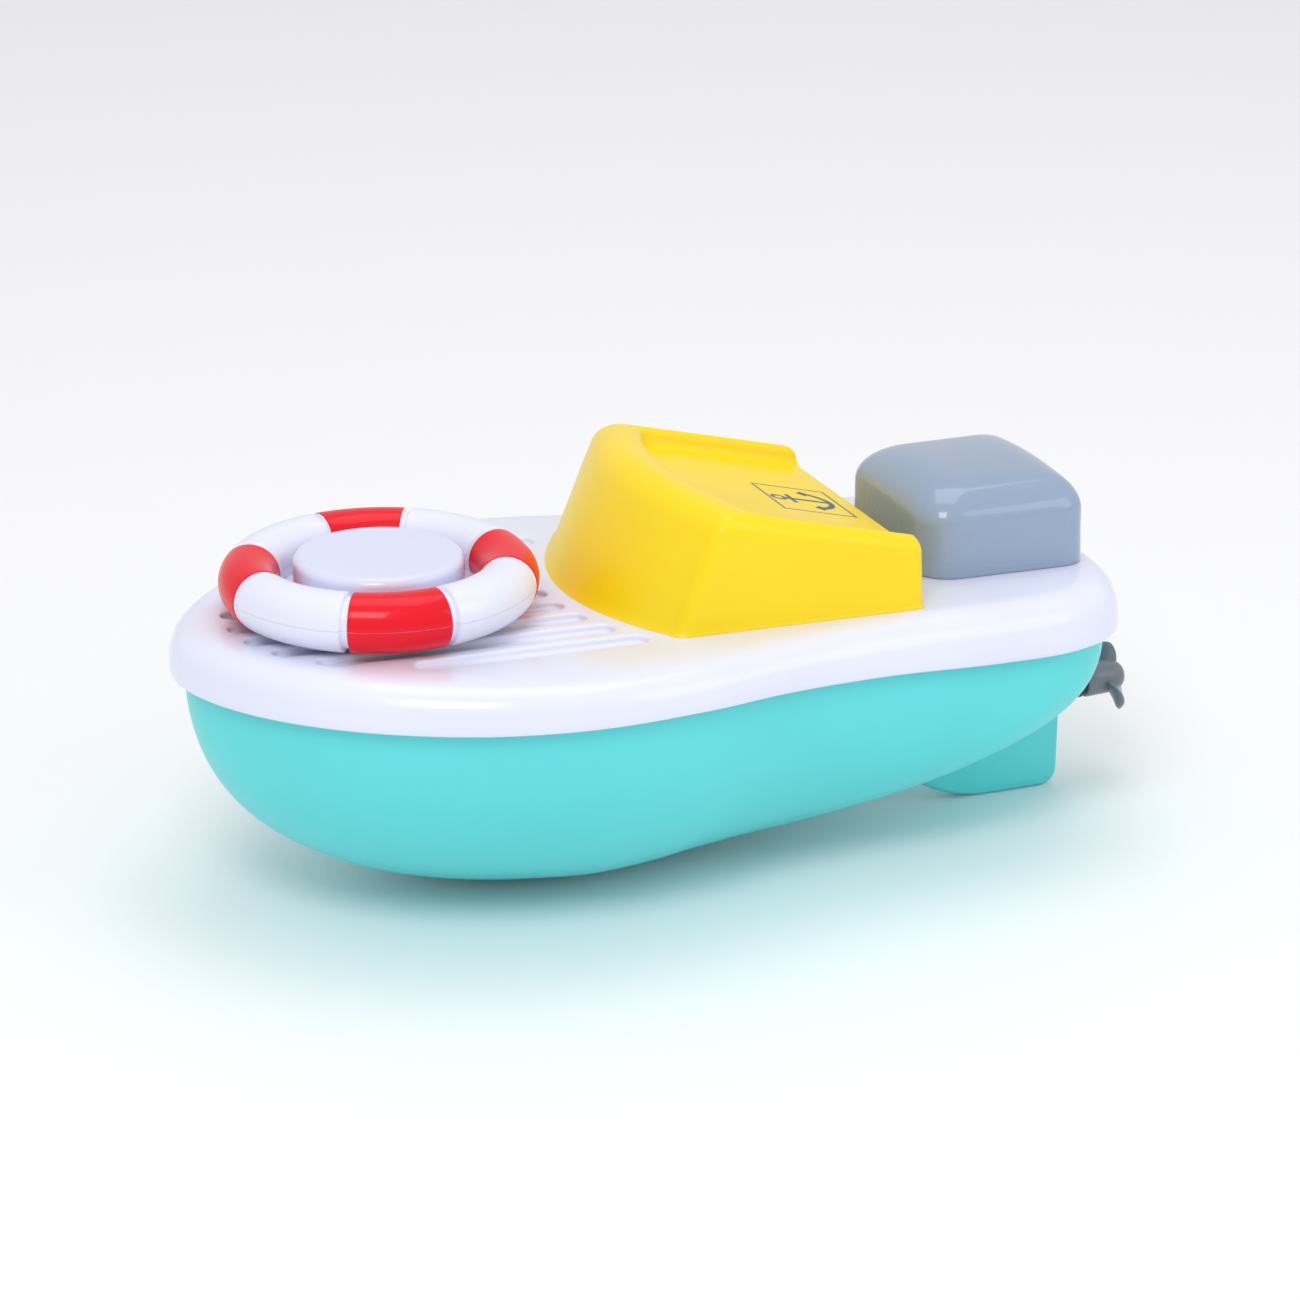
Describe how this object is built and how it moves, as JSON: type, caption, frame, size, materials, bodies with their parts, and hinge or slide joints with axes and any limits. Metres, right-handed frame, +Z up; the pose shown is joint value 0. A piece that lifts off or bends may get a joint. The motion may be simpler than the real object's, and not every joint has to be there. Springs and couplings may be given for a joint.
{
  "type": "wind-up toy boat",
  "caption": "Wind-up toy boat: hollow hull under a deck with cabin and motor cover, and a life ring on the bow that winds a spring motor geared to the stern propeller.",
  "frame": {"origin": "on the surface that the boat stands on, under the middle of its overall length, in its centre plane", "axes": "+X from bow to stern along the propeller shaft, +Y to starboard, +Z up along the winding shaft"},
  "size_m": [0.178, 0.0936, 0.0705],
  "materials": {
    "hull_plastic": "satin turquoise moulding",
    "deck_plastic": "gloss cool white moulding",
    "cabin_plastic": "satin yellow moulding",
    "cover_plastic": "gloss pale blue-grey moulding",
    "ring_white": "gloss cool white moulding, with the red bands printed on it",
    "ring_red": "gloss red paint",
    "propeller_plastic": "satin dark grey moulding",
    "natural_plastic": "natural unpainted acetal",
    "gear_plastic": "pale blue acetal",
    "seal_rubber": "matt black",
    "steel": "plain machined steel"
  },
  "bodies": {
    "root": {"deck": "deck_plastic", "hull": "hull_plastic", "skeg": "hull_plastic", "hull_plug_1": "hull_plastic", "hull_plug_2": "hull_plastic", "hull_plug_3": "hull_plastic", "hull_plug_4": "hull_plastic", "hull_seal": "seal_rubber", "shaft_seal": "seal_rubber", "stern_seal": "seal_rubber", "cabin": "cabin_plastic", "motor_cover": "cover_plastic", "gearbox_lower": "natural_plastic", "gearbox_upper": "natural_plastic", "stern_tube": "propeller_plastic", "mainspring": "steel", "idler_axle": "steel", "crown_axle": "steel", "ballast_weight": "steel", "gearbox_screw_1": "steel", "gearbox_screw_2": "steel", "gearbox_screw_3": "steel", "gearbox_mount_screw_1": "steel", "gearbox_mount_screw_2": "steel", "hull_screw_1": "steel", "hull_screw_2": "steel", "hull_screw_3": "steel", "hull_screw_4": "steel", "cabin_screw_1": "steel", "cabin_screw_2": "steel", "cover_screw_1": "steel", "cover_screw_2": "steel", "ballast_screw_1": "steel", "ballast_screw_2": "steel"},
    "ring": {"ring_upper_shell": "ring_white", "ring_lower_shell": "ring_white", "hub_cap": "ring_white", "winding_shaft": "steel", "main_gear": "natural_plastic", "ring_screw": "steel"},
    "idler": {"idler_gear": "gear_plastic"},
    "crown": {"crown_gear": "gear_plastic"},
    "propeller": {"prop_pinion": "natural_plastic", "propeller_shaft": "steel", "propeller": "propeller_plastic"}
  },
  "joints": [
    {"name": "ring_spin", "type": "hinge", "parent": "root", "child": "ring", "pos_m": [-0.05275, 0, 0.0558], "axis": [0, 0, 1], "continuous": true},
    {"name": "idler_spin", "type": "hinge", "parent": "root", "child": "idler", "pos_m": [-0.03275, 0, 0.03], "axis": [0, 0, 1], "continuous": true},
    {"name": "crown_spin", "type": "hinge", "parent": "root", "child": "crown", "pos_m": [-0.01575, 0, 0.03], "axis": [0, 0, 1], "continuous": true},
    {"name": "propeller_spin", "type": "hinge", "parent": "root", "child": "propeller", "pos_m": [0.08, 0, 0.0188], "axis": [1, 0, 0], "continuous": true}
  ],
  "couplings": [
    {"joint": "idler_spin", "follows": "ring_spin", "ratio": -3},
    {"joint": "crown_spin", "follows": "ring_spin", "ratio": 7.2},
    {"joint": "propeller_spin", "follows": "ring_spin", "ratio": -14.4}
  ]
}
